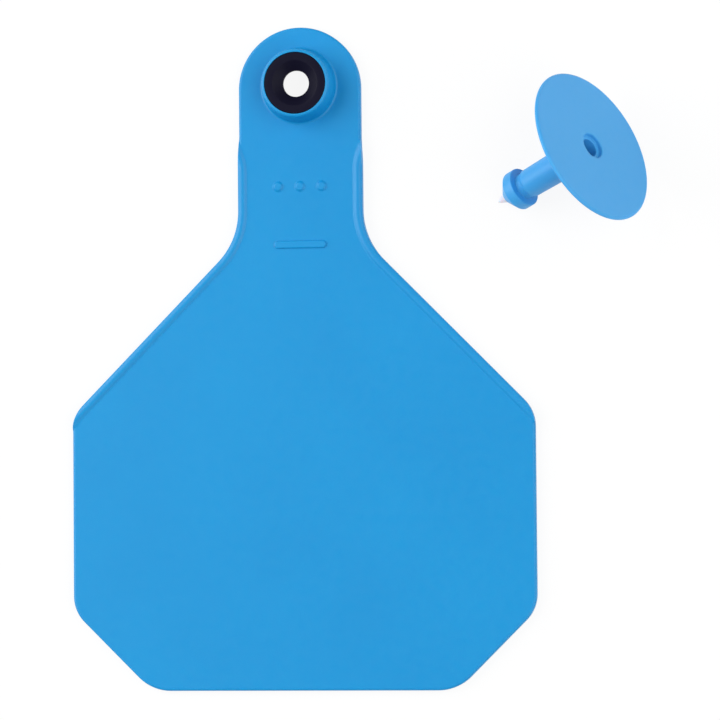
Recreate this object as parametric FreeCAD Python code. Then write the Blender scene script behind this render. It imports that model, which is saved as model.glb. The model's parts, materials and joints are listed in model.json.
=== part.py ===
"""Two-piece livestock ear tag: a moulded panel with its locking collar, and the stud that pins it.

The panel lies face up, with its back face on z = 0 and its hanging end towards -Y. The origin
is on the collar's axis, at the back face, where the stud goes in. The stud is not applied: it
lies beside the panel as it comes to rest, on the rim of its disc and the barb of its head.
"""
import FreeCAD, Part
import math
import os

Vector = FreeCAD.Vector

# ---- panel outline (mm) ----
tag_width = 76.2
side_length = 32.0          # straight sides, between the corner points
shoulder_drop = 28.3        # height of the slanting shoulders
corner_cut = 13.0           # legs of the 45 degree cuts at the two lower corners
neck_length = 24.7          # from the centre of the head's end arc to the shoulders
neck_width = 20.5           # over the rims
head_radius = 10.05
boss_ahead = 0.45           # the collar's axis stands this far ahead of the end arc's centre
neck_fillet = 11.8
shoulder_fillet = 6.2
side_fillet = 6.0
bottom_fillet = 7.5

# ---- panel section ----
plate_thickness = 1.6
plate_edge_round = 0.4      # along the front edge; the back edge is the mould's parting line
rim_width = 1.45            # raised bead along neck and shoulders
rim_height = 0.3
rim_start = 8.3             # from the centre of the end arc to the tip of the rim's nose
rim_nose_length = 4.0
rim_nose_radius = 6.0

# ---- boss that holds the collar ----
boss_height = 6.0           # above the back face
boss_lip = 0.45             # wall round the insert at the boss's top
boss_draft = 7.0            # degrees
boss_top_bevel = 0.25
boss_foot_fillet = 0.5

# ---- collar insert ----
insert_radius = 5.05
insert_sunk = 0.1           # below the boss's lip
insert_bevel = 0.15
skin = 0.8                  # panel material left behind the insert
groove_depth = 0.5          # anchors the insert in the boss
groove_low = 2.2            # above the back face
groove_high = 3.6
throat_radius = 2.15
throat_length = 0.8
funnel_depth = 1.1          # from the insert's front face to its throat
funnel_radius = 3.7

# ---- raised marks on the neck ----
pip_radius = 0.9            # at the foot
pip_top_radius = 0.55
pip_height = 0.3
pip_spacing = 3.6
pip_count = 3
pips_down = 16.0            # from the centre of the end arc
bar_length = 8.6
bar_width = 1.2
bar_height = 0.3
bar_down = 25.5

# ---- stud ----
disc_radius = 12.85
disc_edge = 0.7             # thickness at the rim
disc_rise = 0.7             # thickness added towards the stem
disc_bevel = 0.25           # takes off both corners of the disc's rim
stem_length = 13.8          # from the disc's inner face to the barb
stem_root_radius = 2.6
stem_root_flare = 0.7       # cone where the stem meets the disc
stem_end_radius = 2.35      # where it steps down to its neck
neck_clearance = 0.05       # round the stem's neck, in the collar's throat
neck_play = 0.2             # along the stem's neck, beside the collar's throat
barb_radius = 3.25
barb_length = 1.7
barb_bevel = 0.15
barb_clearance = 0.2        # between the barb and the hole in the panel's skin
nose_length = 2.0           # cone from the barb to the piercing tip
nose_lip = 0.15             # moulding left round the tip's base

# ---- applicator socket in the stud ----
socket_radius = 1.5
socket_guide = 6.0          # parallel length
socket_mouth_radius = 2.1
socket_mouth_depth = 0.7
socket_floor_radius = 1.2

# ---- piercing tip ----
tip_radius = 1.05           # where it leaves the moulding
tip_length = 2.2            # in front of the moulding
tip_point_radius = 0.06
shank_length = 6.7          # inside the moulding
anchor_radius = 1.8
anchor_length = 1.0
anchor_from_base = 2.9

# ---- where the stud lies ----
stud_place = (48.87, -11.93)  # centre of the socket's mouth, seen from above
stud_heading = 205.2          # degrees, the way the tip points, seen from above

# ---- sizes that follow ----
half_width = tag_width / 2
head_y = -boss_ahead
shoulder_y = head_y - neck_length
side_top_y = shoulder_y - shoulder_drop
side_low_y = side_top_y - side_length
bottom_y = side_low_y - corner_cut
stem_hole_radius = barb_radius + barb_clearance
stem_neck_radius = throat_radius - neck_clearance
insert_top = boss_height - insert_sunk
throat_top = insert_top - funnel_depth
throat_low = throat_top - throat_length
boss_top_radius = insert_radius + boss_lip
barb_back = disc_edge + disc_rise + stem_length
stem_neck_low = barb_back - throat_length - neck_play
barb_front = barb_back + barb_length
nose_end = barb_front + nose_length
tip_end = nose_end + tip_length


def rounded_path(corners, z=0.0, closed=False):
    """Wire through corners (x, y, radius), each one rounded by a tangent arc."""
    count = len(corners)
    pieces = []
    starts, ends = [], []
    for i in range(count):
        here = Vector(*corners[i][:2], z)
        radius = corners[i][2]
        if radius == 0:
            starts.append(here)
            ends.append(here)
            continue
        back = (Vector(*corners[i - 1][:2], z) - here).normalize()
        on = (Vector(*corners[(i + 1) % count][:2], z) - here).normalize()
        half_angle = back.getAngle(on) / 2
        run = radius / math.tan(half_angle)
        inward = (back + on).normalize()
        starts.append(here + back * run)
        ends.append(here + on * run)
        middle = here + inward * (radius / math.sin(half_angle) - radius)
        pieces.append(Part.Arc(starts[i], middle, ends[i]).toShape())
    for i in range(count if closed else count - 1):
        following = starts[(i + 1) % count]
        if (following - ends[i]).Length > 1e-6:
            pieces.append(Part.makeLine(ends[i], following))
    return Part.Wire(Part.__sortEdges__(pieces))


def prism(corners, low, high):
    """Upright prism on a rounded outline."""
    face = Part.Face(rounded_path(corners, low, closed=True))
    return face.extrude(Vector(0, 0, high - low))


def turned(profile):
    """Solid of revolution about Z from a closed profile of (radius, z) or (radius, z, rounding)."""
    outline = rounded_path([(*corner, 0)[:3] for corner in profile], closed=True)
    face = Part.Face(outline)
    face.rotate(Vector(0, 0, 0), Vector(1, 0, 0), 90)
    return face.revolve(Vector(0, 0, 0), Vector(0, 0, 1), 360)


def edges_at(shape, height):
    """Edges that lie wholly at one height."""
    return [e for e in shape.Edges
            if abs(e.BoundBox.ZMin - height) < 1e-4 and abs(e.BoundBox.ZMax - height) < 1e-4]


def panel_outline():
    """Corner points of the panel, its head left square for the end arc."""
    neck = neck_width / 2
    step_low = head_y - rim_start - rim_nose_length
    step_high = head_y - rim_start
    right = [
        (head_radius, head_y + head_radius, head_radius),
        (head_radius, step_high, 4.0),
        (neck, step_low, 4.0),
        (neck, shoulder_y, neck_fillet),
        (half_width, side_top_y, shoulder_fillet),
        (half_width, side_low_y, side_fillet),
        (half_width - corner_cut, bottom_y, bottom_fillet),
    ]
    left = [(-x, y, radius) for x, y, radius in reversed(right)]
    return right + left


def rim_path():
    """Corner points of the right rim's centre line, which starts and ends past the panel's edge."""
    centre_x = neck_width / 2 - rim_width / 2
    nose_y = head_y - rim_start
    run_x = half_width - neck_width / 2
    run_length = math.hypot(run_x, shoulder_drop)
    corner_y = shoulder_y - rim_width / 2 * (run_length - shoulder_drop) / run_x
    end_x = half_width + 2 * rim_width
    return [
        (centre_x + rim_width, nose_y, 0),
        (centre_x, nose_y - rim_nose_length, rim_nose_radius),
        (centre_x, corner_y, neck_fillet + rim_width / 2),
        (end_x, corner_y - shoulder_drop / run_x * (end_x - centre_x), 0),
    ]


def plate_blank():
    """Flat plate, rounded along its front edge."""
    plate = prism(panel_outline(), 0, plate_thickness)
    return plate.makeFillet(plate_edge_round, edges_at(plate, plate_thickness))


def rim():
    """Right rim: a round bead along its path, trimmed to the panel's outline."""
    bead_radius = ((rim_width / 2) ** 2 + rim_height ** 2) / (2 * rim_height)
    centre_z = plate_thickness + rim_height - bead_radius
    path = rounded_path(rim_path(), centre_z)
    start = path.Vertexes[0].Point
    along = path.Edges[0].tangentAt(path.Edges[0].FirstParameter)
    section = Part.Wire(Part.makeCircle(bead_radius, start, along))
    bead = path.makePipeShell([section], True, False)
    return bead.common(prism(panel_outline(), 0, plate_thickness + rim_height))


def boss():
    """Conical boss, bevelled at its lip and blended into the plate at its foot."""
    draft = math.tan(math.radians(boss_draft))
    foot_radius = boss_top_radius + (boss_height - plate_thickness) * draft
    skirt_radius = foot_radius + boss_foot_fillet
    return turned([
        (0, plate_thickness / 2),
        (skirt_radius, plate_thickness / 2),
        (skirt_radius, plate_thickness),
        (foot_radius, plate_thickness, boss_foot_fillet),
        (boss_top_radius, boss_height - boss_top_bevel),
        (boss_top_radius - boss_top_bevel, boss_height),
        (0, boss_height),
    ])


def insert_outside():
    """Outer profile of the collar insert: (radius, z) from its back face to its front face."""
    waist = insert_radius - groove_depth
    return [
        (insert_radius, skin),
        (insert_radius, groove_low - groove_depth),
        (waist, groove_low),
        (waist, groove_high),
        (insert_radius, groove_high + groove_depth),
        (insert_radius, insert_top - insert_bevel),
    ]


def collar_insert():
    """Hard ring with a lead-in from the back, a short throat and a funnel to the front."""
    inside = [
        (insert_radius - insert_bevel, insert_top),
        (funnel_radius, insert_top),
        (throat_radius, throat_top),
        (throat_radius, throat_low),
        (stem_hole_radius, skin),
    ]
    return turned(insert_outside() + inside)


def insert_pocket():
    """Room for the insert in the boss, open at the front, with the hole through the skin."""
    open_top = boss_height + boss_lip
    outside = insert_outside()[:-1] + [(insert_radius, open_top)]
    return turned([(0, -skin), (stem_hole_radius, -skin), (stem_hole_radius, skin)] + outside
                  + [(0, open_top)])


def pip(x, y):
    """Low round pip with sloping sides."""
    low = plate_thickness / 2
    top = plate_thickness + pip_height
    blank = turned([(0, low), (pip_radius, low), (pip_radius, plate_thickness),
                    (pip_top_radius, top), (0, top)])
    blank.translate(Vector(x, y, 0))
    return blank


def bar(x, y):
    """Plain raised bar with round ends."""
    half_length = bar_length / 2
    half_bar = bar_width / 2
    corners = [(x - half_length, y - half_bar, half_bar), (x + half_length, y - half_bar, half_bar),
               (x + half_length, y + half_bar, half_bar), (x - half_length, y + half_bar, half_bar)]
    top = plate_thickness + bar_height
    block = prism(corners, plate_thickness / 2, top)
    return block.makeChamfer(bar_height / 2, edges_at(block, top))


def marks():
    """Raised marks down the middle of the neck: a row of pips and a bar under it."""
    first_x = -pip_spacing * (pip_count - 1) / 2
    row = [pip(first_x + pip_spacing * i, head_y - pips_down) for i in range(pip_count)]
    return row + [bar(0, head_y - bar_down)]


def tag_panel():
    """The moulded panel: plate, rims, boss and marks in one piece, with the insert's pocket."""
    right_rim = rim()
    left_rim = right_rim.mirror(Vector(0, 0, 0), Vector(1, 0, 0))
    body = plate_blank()
    for piece in [right_rim, left_rim, boss()] + marks():
        body = body.fuse(piece)
    return body.cut(insert_pocket())


def stud_blank():
    """The stud without its inside: disc, necked stem and barbed head, along +Z from the mouth."""
    neck_step = stem_end_radius - stem_neck_radius
    return turned([
        (0, 0),
        (disc_radius - disc_bevel, 0),
        (disc_radius, disc_bevel),
        (disc_radius, disc_edge - disc_bevel),
        (disc_radius - disc_bevel, disc_edge),
        (stem_root_radius + stem_root_flare, disc_edge + disc_rise),
        (stem_root_radius, disc_edge + disc_rise + stem_root_flare),
        (stem_end_radius, stem_neck_low - neck_step),
        (stem_neck_radius, stem_neck_low),
        (stem_neck_radius, barb_back),
        (barb_radius - barb_bevel, barb_back),
        (barb_radius, barb_back + barb_bevel),
        (barb_radius, barb_front),
        (tip_radius + nose_lip, nose_end),
        (0, nose_end),
    ])


def tip_profile():
    """Outer profile of the piercing tip inside the moulding: (radius, z) from its base."""
    base = nose_end - shank_length
    anchor_low = base + anchor_from_base
    anchor_high = anchor_low + anchor_length
    step = anchor_radius - socket_floor_radius
    return [
        (0, base),
        (socket_floor_radius, base),
        (socket_floor_radius, anchor_low),
        (anchor_radius, anchor_low),
        (anchor_radius, anchor_high),
        (socket_floor_radius, anchor_high + step),
        (tip_radius, nose_end),
    ]


def piercing_tip():
    """Hard point: a barbed shank inside the moulding and a cone in front of it."""
    return turned(tip_profile() + [(tip_point_radius, tip_end), (0, tip_end)])


def socket():
    """Blind hole from the disc's face to the piercing tip, and the tip's own seat."""
    guide_end = socket_mouth_depth + socket_guide
    inside = tip_profile()[1:]
    return turned([
        (0, -disc_edge),
        (socket_mouth_radius, -disc_edge),
        (socket_mouth_radius, socket_mouth_depth),
        (socket_radius, socket_mouth_depth),
        (socket_radius, guide_end),
    ] + inside + [(tip_radius, tip_end), (0, tip_end)])


def stud():
    """The stud's moulding: one blue piece, hollow from its mouth to the piercing tip."""
    return stud_blank().cut(socket())


def rest_tilt():
    """Fall of the stud's axis, in radians, when its rim and its head both touch the table."""
    rim_z = disc_edge - disc_bevel
    contacts = [(barb_front, barb_radius), (tip_end, tip_point_radius)]
    return math.atan(min((disc_radius - radius) / (z - rim_z) for z, radius in contacts))


def laid_down(shape):
    """Move a piece of the stud from its own axis to where the stud lies."""
    tilt = rest_tilt()
    mouth_z = (disc_edge - disc_bevel) * math.sin(tilt) + disc_radius * math.cos(tilt)
    placed = shape.copy()
    placed.rotate(Vector(0, 0, 0), Vector(0, 1, 0), 90 + math.degrees(tilt))
    placed.rotate(Vector(0, 0, 0), Vector(0, 0, 1), stud_heading)
    placed.translate(Vector(*stud_place, mouth_z))
    return placed


pieces = {
    "tag_panel": tag_panel(),
    "collar_insert": collar_insert(),
    "stud": laid_down(stud()),
    "piercing_tip": laid_down(piercing_tip()),
}

os.makedirs("parts", exist_ok=True)
for name, shape in pieces.items():
    shape.exportStep("parts/" + name + ".step")
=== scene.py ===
"""Two-piece livestock ear tag: the blue panel with its black collar, and the stud beside it.

Everything is in metres, in the frame of the construction model: the collar's axis is Z, the
panel's back face is at z = 0, and the hanging end points to -Y.
"""

import json
import math

import bmesh
import bpy
import numpy
from mathutils import Matrix, Vector


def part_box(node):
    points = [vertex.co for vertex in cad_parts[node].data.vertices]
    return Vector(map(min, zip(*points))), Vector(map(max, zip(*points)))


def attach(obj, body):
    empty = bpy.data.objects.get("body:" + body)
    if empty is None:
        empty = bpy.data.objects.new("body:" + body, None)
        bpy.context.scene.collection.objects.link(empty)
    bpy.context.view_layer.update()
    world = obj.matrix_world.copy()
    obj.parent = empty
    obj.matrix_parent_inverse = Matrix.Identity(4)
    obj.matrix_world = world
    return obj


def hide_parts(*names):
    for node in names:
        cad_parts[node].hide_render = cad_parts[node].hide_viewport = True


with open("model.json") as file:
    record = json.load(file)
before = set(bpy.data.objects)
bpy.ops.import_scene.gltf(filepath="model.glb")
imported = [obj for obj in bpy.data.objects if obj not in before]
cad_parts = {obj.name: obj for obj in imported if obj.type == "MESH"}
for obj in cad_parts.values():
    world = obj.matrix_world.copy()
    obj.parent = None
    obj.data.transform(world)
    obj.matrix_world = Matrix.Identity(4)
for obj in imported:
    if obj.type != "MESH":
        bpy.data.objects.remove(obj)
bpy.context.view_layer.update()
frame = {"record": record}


# ---------------------------------------------------------------------------------------------
# Tag panel
# Moulded in one shot from soft bright-blue polyurethane: a thin plate with a neck and a round
# head, a bead along neck and shoulders, a conical boss and small raised marks. The back edge is
# the mould's parting line, so it is nearly sharp.

mm = 0.001
mounts = {mount["name"]: mount for mount in frame["record"]["mounts"]}
panel_low, panel_high = [Vector(corner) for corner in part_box("tag_panel")]
half_width = panel_high.x
bottom_y = panel_low.y
boss_height = panel_high.z
plate = 1.6 * mm
edge_round = 0.4 * mm
burr = 0.05 * mm

head_radius = 10.05 * mm
head_y = panel_high.y - head_radius
neck_half = 10.25 * mm
shoulder_y = head_y - 24.7 * mm
side_top_y = shoulder_y - 28.3 * mm
corner_cut = 13.0 * mm
side_low_y = bottom_y + corner_cut
nose_fillet = 4.0 * mm
neck_fillet = 11.8 * mm
shoulder_fillet = 6.2 * mm
side_fillet = 6.0 * mm
bottom_fillet = 7.5 * mm

rim_width = 1.45 * mm
rim_height = 0.3 * mm
rim_nose_y = head_y - 8.3 * mm
rim_nose_length = 4.0 * mm
rim_nose_radius = 6.0 * mm
rim_blend = 0.1 * mm


def rounded_path(corners, arc_step, line_step=None, closed=True):
    """Points along a path through corners (x, y, radius), each with the normal to its left."""
    bends = []
    count = len(corners)
    for i, (x, y, radius) in enumerate(corners):
        here = Vector((x, y))
        if radius == 0:
            bends.append((here, None))
            continue
        back = (Vector(corners[i - 1][:2]) - here).normalized()
        on = (Vector(corners[(i + 1) % count][:2]) - here).normalized()
        half_angle = back.angle(on) / 2
        turn = math.pi - 2 * half_angle
        side = 1 if back.cross(on) < 0 else -1
        centre = here + (back + on).normalized() * (radius / math.sin(half_angle))
        first_spoke = here + back * (radius / math.tan(half_angle)) - centre
        steps = max(3, math.ceil(radius * turn / arc_step))
        for step in range(steps + 1):
            spoke = Matrix.Rotation(side * turn * step / steps, 2) @ first_spoke
            bends.append((centre + spoke, -side * spoke.normalized()))
    points = []
    for i, (point, normal) in enumerate(bends):
        run = bends[(i + 1) % len(bends)][0] - point
        left = run.orthogonal().normalized()
        points.append((point, normal or left))
        is_line = closed or i < len(bends) - 1
        if line_step and is_line and run.length > 1.5 * line_step:
            cuts = round(run.length / line_step)
            points += [(point + run * (k / cuts), left) for k in range(1, cuts)]
    return points


def bead_height(x, y):
    """Height of the round bead at points of the panel, from their distance to its centre line."""
    centre_x = neck_half - rim_width / 2
    run_x = half_width - neck_half
    drop = shoulder_y - side_top_y
    corner_y = shoulder_y - rim_width / 2 * (math.hypot(run_x, drop) - drop) / run_x
    line = [
        (centre_x + rim_width, rim_nose_y, 0),
        (centre_x, rim_nose_y - rim_nose_length, rim_nose_radius),
        (centre_x, corner_y, neck_fillet + rim_width / 2),
        (half_width + rim_width, corner_y - drop / run_x * (half_width + rim_width - centre_x), 0),
    ]
    path = numpy.array([point for point, _ in rounded_path(line, 0.3 * mm, closed=False)])
    start, run = path[:-1], path[1:] - path[:-1]
    offset = numpy.stack([abs(x), y], axis=-1)[:, None] - start
    share = numpy.clip((offset * run).sum(-1) / (run * run).sum(-1), 0, 1)
    distance = numpy.linalg.norm(offset - share[..., None] * run, axis=-1).min(axis=1)
    bead_radius = ((rim_width / 2) ** 2 + rim_height ** 2) / (2 * rim_height)
    hump = numpy.sqrt(numpy.maximum(bead_radius ** 2 - distance ** 2, 0))
    return plate + rim_height - bead_radius + hump


def add_ring(mesh, points):
    """Vertices of one closed ring."""
    return [mesh.verts.new(point) for point in points]


def skin_rings(mesh, rings, closed=False):
    """Quads between each ring and the next one; a ring of one vertex closes as a fan."""
    pairs = list(zip(rings, rings[1:] + rings[:1])) if closed else list(zip(rings, rings[1:]))
    for low, high in pairs:
        count = max(len(low), len(high))
        for i in range(count):
            j = (i + 1) % count
            corners = [low[i % len(low)], low[j % len(low)],
                       high[j % len(high)], high[i % len(high)]]
            mesh.faces.new(list(dict.fromkeys(corners)))


def fill_flat(mesh, rings):
    """Triangles over the flat area between an outer ring and the rings inside it."""
    edges = []
    for ring in rings:
        edges += [mesh.edges.get((ring[i - 1], ring[i])) for i in range(len(ring))]
    bmesh.ops.triangle_fill(mesh, use_beauty=True, edges=edges)


def finished(mesh, name, material, sharp=40):
    """Object made from a bmesh, smooth but for its sharp edges."""
    bmesh.ops.recalc_face_normals(mesh, faces=mesh.faces)
    data = bpy.data.meshes.new(name)
    mesh.to_mesh(data)
    mesh.free()
    data.shade_smooth()
    data.set_sharp_from_angle(angle=math.radians(sharp))
    data.materials.append(material)
    piece = bpy.data.objects.new(name, data)
    bpy.context.scene.collection.objects.link(piece)
    return piece


def circle(radius, z, segments=160, centre=(0, 0)):
    """Points of a level circle."""
    turns = [2 * math.pi * i / segments for i in range(segments)]
    return [(centre[0] + radius * math.cos(a), centre[1] + radius * math.sin(a), z) for a in turns]


def turned_rings(mesh, profile, segments=160, centre=(0, 0)):
    """Rings of a turned surface, from the points of its profile (radius, z)."""
    rings = []
    for (radius, z), _ in profile:
        on_axis = radius < 1e-7
        points = [(*centre, z)] if on_axis else circle(radius, z, segments, centre)
        rings.append(add_ring(mesh, points))
    return rings


right_corners = [
    (head_radius, panel_high.y, head_radius),
    (head_radius, rim_nose_y, nose_fillet),
    (neck_half, rim_nose_y - rim_nose_length, nose_fillet),
    (neck_half, shoulder_y, neck_fillet),
    (half_width, side_top_y, shoulder_fillet),
    (half_width, side_low_y, side_fillet),
    (half_width - corner_cut, bottom_y, bottom_fillet),
]
left_corners = [(-x, y, radius) for x, y, radius in right_corners]
panel_edge = rounded_path(right_corners[::-1] + left_corners, 0.35 * mm, 0.4 * mm)

panel_mesh = bmesh.new()
edge_x = numpy.array([point.x for point, _ in panel_edge])
edge_y = numpy.array([point.y for point, _ in panel_edge])
inward_x = numpy.array([normal.x for _, normal in panel_edge])
inward_y = numpy.array([normal.y for _, normal in panel_edge])
back_ring = add_ring(panel_mesh, zip(edge_x + burr * inward_x, edge_y + burr * inward_y,
                                     numpy.zeros(len(panel_edge))))
wall_ring = add_ring(panel_mesh, zip(edge_x, edge_y, numpy.full(len(panel_edge), burr)))
edge_rings = [back_ring, wall_ring]
# Rings inward from the edge, in mm, closest together where the bead and the edge bend.
for inset in numpy.array([0, 0.02, 0.05, 0.1, 0.17, 0.26, 0.36, 0.48, 0.62, 0.8, 0.98, 1.14,
                          1.26, 1.36, 1.44, 1.52, 1.6, 1.68, 1.78, 1.92, 2.1]) * mm:
    x, y = edge_x + inset * inward_x, edge_y + inset * inward_y
    short = max(edge_round - inset, 0)
    face = plate - edge_round + math.sqrt(edge_round ** 2 - short ** 2)
    bead = bead_height(x, y)
    blend = numpy.maximum(rim_blend - abs(bead - face), 0) ** 2 / (4 * rim_blend)
    edge_rings.append(add_ring(panel_mesh, zip(x, y, numpy.maximum(bead, face) + blend)))
skin_rings(panel_mesh, edge_rings)

insert_radius = 5.05 * mm
insert_top = boss_height - 0.1 * mm
boss_lip = 0.45 * mm
boss_draft = math.radians(7)
boss_foot_fillet = 0.5 * mm
boss_lip_round = 0.42 * mm
groove_depth = 0.5 * mm
groove_low = 2.2 * mm
groove_high = 3.6 * mm
skin = mounts["stem_hole"]["dims"]["length_mm"] * mm
stem_hole = mounts["stem_hole"]["dims"]["r_mm"] * mm
groove = [
    (insert_radius, skin, 0),
    (insert_radius, groove_low - groove_depth, 0),
    (insert_radius - groove_depth, groove_low, 0),
    (insert_radius - groove_depth, groove_high, 0),
    (insert_radius, groove_high + groove_depth, 0),
]
boss_foot = insert_radius + boss_lip + (boss_height - plate) * math.tan(boss_draft)
boss_profile = rounded_path([
    (boss_foot + boss_foot_fillet + 0.15 * mm, plate, 0),
    (boss_foot, plate, boss_foot_fillet),
    (insert_radius + boss_lip, boss_height, boss_lip_round),
    (insert_radius, boss_height, 0.04 * mm),
] + groove[::-1] + [
    (stem_hole, skin, 0),
    (stem_hole, burr, 0),
    (stem_hole + burr, 0, 0),
], 0.06 * mm, closed=False)
boss_rings = turned_rings(panel_mesh, boss_profile)
skin_rings(panel_mesh, boss_rings)
fill_flat(panel_mesh, [back_ring, boss_rings[-1]])

pip_radius = 0.9 * mm
pip_top_radius = 0.55 * mm
pip_height = 0.3 * mm
pip_spacing = 3.6 * mm
pips_y = head_y - 16 * mm
pip_profile = rounded_path([
    (pip_radius + 0.15 * mm, plate, 0),
    (pip_radius, plate, 0.1 * mm),
    (pip_top_radius, plate + pip_height, 0.25 * mm),
    (0, plate + pip_height, 0),
], 0.03 * mm, closed=False)
mark_feet = []
for pip_x in (-pip_spacing, 0, pip_spacing):
    pip_rings = turned_rings(panel_mesh, pip_profile, 32, (pip_x, pips_y))
    skin_rings(panel_mesh, pip_rings)
    mark_feet.append(pip_rings[0])

bar_y = head_y - 25.5 * mm
bar_half_length = 4.3 * mm
bar_half_width = 0.6 * mm
bar_end_round = 0.999 * bar_half_width
bar_edge = rounded_path([
    (-bar_half_length, bar_y - bar_half_width, bar_end_round),
    (bar_half_length, bar_y - bar_half_width, bar_end_round),
    (bar_half_length, bar_y + bar_half_width, bar_end_round),
    (-bar_half_length, bar_y + bar_half_width, bar_end_round),
], 0.08 * mm, 0.4 * mm)
# Each ring's inset from the bar's outline and its rise over the plate, in mm.
bar_rings = []
for inset, rise in ((-0.2, 0), (-0.1, 0), (-0.02, 0.02), (0, 0.06), (0.02, 0.2), (0.08, 0.27),
                    (0.17, 0.3), (0.25, 0.3)):
    bar_rings.append(add_ring(panel_mesh, [
        (*(point + inset * mm * normal), plate + rise * mm) for point, normal in bar_edge]))
skin_rings(panel_mesh, bar_rings)
fill_flat(panel_mesh, [bar_rings[-1]])
mark_feet.append(bar_rings[0])
fill_flat(panel_mesh, [edge_rings[-1], boss_rings[0]] + mark_feet)


def moulded_plastic(name, colour, deeper, roughness, bleed, gloss=0.4, grain=0.04):
    """Moulded plastic: pigment drift, uneven gloss, a fine mould texture and slow waves."""
    material = bpy.data.materials.new(name)
    material.use_nodes = True
    nodes, links = material.node_tree.nodes, material.node_tree.links
    surface = nodes["Principled BSDF"]
    place = nodes.new("ShaderNodeTexCoord")

    def noise(scale, detail):
        texture = nodes.new("ShaderNodeTexNoise")
        texture.inputs["Scale"].default_value = scale
        texture.inputs["Detail"].default_value = detail
        links.new(place.outputs["Object"], texture.inputs["Vector"])
        return texture.outputs["Fac"]

    def spread(value, low, high):
        ranged = nodes.new("ShaderNodeMapRange")
        ranged.inputs["From Min"].default_value = 0.3
        ranged.inputs["From Max"].default_value = 0.7
        ranged.inputs["To Min"].default_value = low
        ranged.inputs["To Max"].default_value = high
        links.new(value, ranged.inputs["Value"])
        return ranged.outputs["Result"]

    pigment = nodes.new("ShaderNodeMix")
    pigment.data_type = "RGBA"
    pigment.inputs["A"].default_value = (*colour, 1)
    pigment.inputs["B"].default_value = (*deeper, 1)
    links.new(spread(noise(45, 3), 0, 1), pigment.inputs["Factor"])
    links.new(pigment.outputs["Result"], surface.inputs["Base Color"])
    links.new(spread(noise(700, 2), roughness - 0.04, roughness + 0.04),
              surface.inputs["Roughness"])
    surface.inputs["Specular IOR Level"].default_value = gloss
    surface.inputs["Subsurface Weight"].default_value = bleed
    surface.inputs["Subsurface Radius"].default_value = (0.3, 0.7, 1.0)
    surface.inputs["Subsurface Scale"].default_value = 1 * mm

    texture = nodes.new("ShaderNodeBump")
    texture.inputs["Strength"].default_value = grain
    texture.inputs["Distance"].default_value = 0.05 * mm
    links.new(noise(5500, 2), texture.inputs["Height"])
    waves = nodes.new("ShaderNodeBump")
    waves.inputs["Strength"].default_value = 0.25
    waves.inputs["Distance"].default_value = 0.15 * mm
    links.new(noise(70, 1), waves.inputs["Height"])
    links.new(texture.outputs["Normal"], waves.inputs["Normal"])
    links.new(waves.outputs["Normal"], surface.inputs["Normal"])
    return material


tag_blue = moulded_plastic("tag blue polyurethane", (0.001, 0.28, 0.62), (0.001, 0.265, 0.60),
                           roughness=0.42, bleed=0.15)
tag_panel = finished(panel_mesh, "panel_moulding", tag_blue)
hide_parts("tag_panel")
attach(tag_panel, "root")


# ---------------------------------------------------------------------------------------------
# Collar insert
# A ring of hard black nylon, moulded first and set in the panel's mould, so that the blue
# plastic closes round its groove. Its funnel and throat let the stud's barb through one way.

throat = mounts["collar_throat"]["dims"]["r_mm"] * mm
throat_low = mounts["collar_throat"]["pos_m"][2]
throat_high = throat_low + mounts["collar_throat"]["dims"]["length_mm"] * mm
funnel_radius = 3.7 * mm
collar_mesh = bmesh.new()
collar_profile = rounded_path(groove + [
    (insert_radius, insert_top, 0.18 * mm),
    (funnel_radius, insert_top, 0.3 * mm),
    (throat, throat_high, 0.15 * mm),
    (throat, throat_low, 0.1 * mm),
    (stem_hole, skin, 0),
], 0.05 * mm)
skin_rings(collar_mesh, turned_rings(collar_mesh, collar_profile), closed=True)
collar_black = moulded_plastic("collar black nylon", (0.004, 0.0036, 0.014),
                               (0.006, 0.0055, 0.018), roughness=0.45, bleed=0.0,
                               gloss=0.1, grain=0.06)
collar = finished(collar_mesh, "collar_ring", collar_black)
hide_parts("collar_insert")
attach(collar, "root")


# ---------------------------------------------------------------------------------------------
# Piercing tip
# A hard off-white acetal point, moulded first; the stud is moulded round its barbed shank. The
# cone in front goes through the ear, and its flat base is the floor of the applicator's socket.

socket_mount = mounts["applicator_socket"]
socket_radius = socket_mount["dims"]["r_mm"] * mm
socket_depth = socket_mount["dims"]["length_mm"] * mm
mouth_depth = 0.7 * mm
stem_axis = -Vector(socket_mount["axis"])
mouth = Vector(socket_mount["pos_m"]) - stem_axis * mouth_depth
stud_pose = Matrix.Translation(mouth) @ stem_axis.to_track_quat("Z", "Y").to_matrix().to_4x4()

barb_back = 15.2 * mm
barb_front = barb_back + 1.7 * mm
nose_end = barb_front + 2.0 * mm
tip_end = nose_end + 2.2 * mm
tip_radius = 1.05 * mm
point_radius = 0.09 * mm
shank_radius = 1.2 * mm
shank_base = nose_end - 6.7 * mm
anchor_low = shank_base + 2.9 * mm
anchor_high = anchor_low + 1.0 * mm
anchor_radius = 1.8 * mm
shank = [
    (shank_radius, shank_base, 0),
    (shank_radius, anchor_low, 0),
    (anchor_radius, anchor_low, 0),
    (anchor_radius, anchor_high, 0),
    (shank_radius, anchor_high + anchor_radius - shank_radius, 0),
    (tip_radius, nose_end, 0),
]
tip_mesh = bmesh.new()
tip_profile = rounded_path([(0, shank_base, 0)] + shank + [
    (point_radius, tip_end, 0.06 * mm),
    (0, tip_end, 0),
], 0.03 * mm, 0.25 * mm, closed=False)
skin_rings(tip_mesh, turned_rings(tip_mesh, tip_profile, 96))
tip_mesh.transform(stud_pose)
tip_white = moulded_plastic("tip off-white acetal", (0.78, 0.755, 0.84), (0.74, 0.71, 0.80),
                            roughness=0.35, bleed=0.4)
tip = finished(tip_mesh, "tip_point", tip_white)
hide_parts("piercing_tip")
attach(tip, "root")


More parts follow.
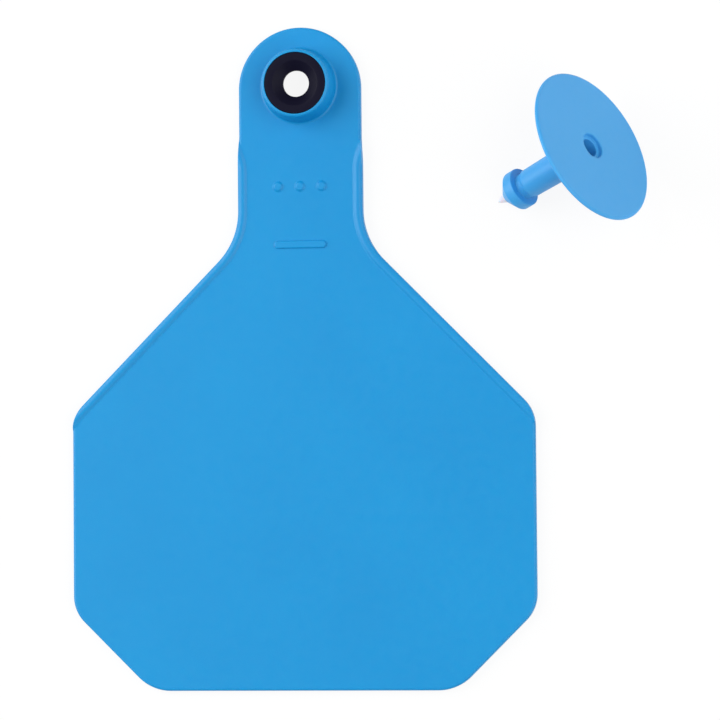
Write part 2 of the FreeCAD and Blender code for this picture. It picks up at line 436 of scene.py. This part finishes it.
# ---------------------------------------------------------------------------------------------
# Stud
# The blue polyurethane button, moulded in one shot round the tip: a thin disc with a rounded
# rim, a tapered hollow stem, a neck that turns in the collar, and a barbed head. The applicator's
# pin goes in at its stepped mouth.

disc_radius = 12.85 * mm
disc_edge = 0.7 * mm
disc_bevel = 0.25 * mm
disc_inner = disc_edge + 0.7 * mm
mouth_radius = 2.1 * mm
stem_root_radius = 2.6 * mm
stem_end_radius = 2.35 * mm
barb_radius = 3.25 * mm
nose_lip = 0.15 * mm
neck_radius = throat - 0.05 * mm
neck_low = barb_back - (throat_high - throat_low) - 0.2 * mm
stud_mesh = bmesh.new()
stud_profile = rounded_path([
    (mouth_radius, 0, 0.25 * mm),
    (disc_radius - disc_bevel, 0, 0.5 * mm),
    (disc_radius, disc_bevel, 0.22 * mm),
    (disc_radius, disc_edge - disc_bevel, 0.22 * mm),
    (disc_radius - disc_bevel, disc_edge, 0.5 * mm),
    (stem_root_radius, disc_inner, 0.9 * mm),
    (stem_end_radius, neck_low - 0.25 * mm, 0.35 * mm),
    (neck_radius, neck_low, 0.25 * mm),
    (neck_radius, barb_back, 0.12 * mm),
    (barb_radius, barb_back, 0.15 * mm),
    (barb_radius, barb_front, 0.25 * mm),
    (tip_radius + nose_lip, nose_end, 0.05 * mm),
] + shank[::-1] + [
    (socket_radius, mouth_depth + socket_depth, 0),
    (socket_radius, mouth_depth, 0.15 * mm),
    (mouth_radius, mouth_depth, 0.12 * mm),
], 0.06 * mm, 0.9 * mm)
skin_rings(stud_mesh, turned_rings(stud_mesh, stud_profile, 180), closed=True)
stud_mesh.transform(stud_pose)
# The stud has the panel's polyurethane blue, made lighter and greyer here: a painted sheen that
# stands in for the light its tilted disc catches.
stud_blue_painted_sheen = moulded_plastic("stud blue polyurethane with painted sheen", (0.055, 0.37, 0.77), (0.048, 0.355, 0.75),
                            roughness=0.42, bleed=0.15)
stud = finished(stud_mesh, "stud_moulding", stud_blue_painted_sheen)
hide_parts("stud")
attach(stud, "root")


# ---------------------------------------------------------------------------------------------
# Table and light
# A white table that keeps the object's faint shadow, a wide soft lamp on the left, a weaker one
# on the right, and a pale room that only the camera sees as white.

table_data = bpy.data.meshes.new("table")
reach = 3
table_data.from_pydata([(-reach, -reach, 0), (reach, -reach, 0), (reach, reach, 0),
                        (-reach, reach, 0)], [], [(0, 1, 2, 3)])
table = bpy.data.objects.new("table", table_data)
bpy.context.scene.collection.objects.link(table)
table.location.z = -0.02 * mm

table_white = bpy.data.materials.new("white table")
table_white.use_nodes = True
nodes, links = table_white.node_tree.nodes, table_white.node_tree.links
paint = nodes["Principled BSDF"]
paint.inputs["Base Color"].default_value = (0.9, 0.9, 0.9, 1)
paint.inputs["Roughness"].default_value = 0.9
paint.inputs["Specular IOR Level"].default_value = 0
glow = nodes.new("ShaderNodeEmission")
rays = nodes.new("ShaderNodeLightPath")
mirrored = nodes.new("ShaderNodeMath")
mirrored.operation = "MAXIMUM"
links.new(rays.outputs["Is Glossy Ray"], mirrored.inputs[0])
links.new(rays.outputs["Is Transmission Ray"], mirrored.inputs[1])
halved = nodes.new("ShaderNodeMath")
halved.operation = "MULTIPLY"
halved.inputs[1].default_value = 0.5
links.new(mirrored.outputs[0], halved.inputs[0])
faded = nodes.new("ShaderNodeMath")
faded.operation = "MULTIPLY_ADD"
faded.inputs[1].default_value = 0.9
links.new(rays.outputs["Is Camera Ray"], faded.inputs[0])
links.new(halved.outputs[0], faded.inputs[2])
blend = nodes.new("ShaderNodeMixShader")
links.new(faded.outputs[0], blend.inputs["Fac"])
links.new(paint.outputs["BSDF"], blend.inputs[1])
links.new(glow.outputs["Emission"], blend.inputs[2])
links.new(blend.outputs["Shader"], nodes["Material Output"].inputs["Surface"])
table_data.materials.append(table_white)

room = bpy.data.worlds.new("pale room")
bpy.context.scene.world = room
room.use_nodes = True
nodes, links = room.node_tree.nodes, room.node_tree.links
rays = nodes.new("ShaderNodeLightPath")
level = nodes.new("ShaderNodeMapRange")
level.inputs["To Min"].default_value = 0.28
level.inputs["To Max"].default_value = 1.0
links.new(rays.outputs["Is Camera Ray"], level.inputs["Value"])
links.new(level.outputs["Result"], nodes["Background"].inputs["Strength"])
nodes["Background"].inputs["Color"].default_value = (1, 1, 1, 1)


def soft_lamp(name, place, aim, width, height, power):
    """Rectangular area lamp at one place, turned to another."""
    data = bpy.data.lights.new(name, "AREA")
    data.shape = "RECTANGLE"
    data.size = width
    data.size_y = height
    data.energy = power
    lamp = bpy.data.objects.new(name, data)
    bpy.context.scene.collection.objects.link(lamp)
    lamp.location = place
    lamp.rotation_euler = (Vector(aim) - Vector(place)).to_track_quat("-Z", "Y").to_euler()


soft_lamp("key", (-0.75, 0.16, 0.62), (0, -0.04, 0), 1.0, 1.0, 10.5)
soft_lamp("fill", (0.7, -0.1, 0.75), (0.02, -0.03, 0), 1.4, 1.0, 8.5)

camera_data = bpy.data.cameras.new("camera")
camera_data.lens = 186.75
camera_data.clip_start = 0.01
camera = bpy.data.objects.new("camera", camera_data)
bpy.context.scene.collection.objects.link(camera)
camera.location = (101.9 * mm, -72.75 * mm, 600 * mm)
camera.rotation_euler = [math.radians(angle) for angle in (2.556, 8.781, -0.48)]
bpy.context.scene.camera = camera
bpy.context.scene.view_settings.view_transform = "Standard"
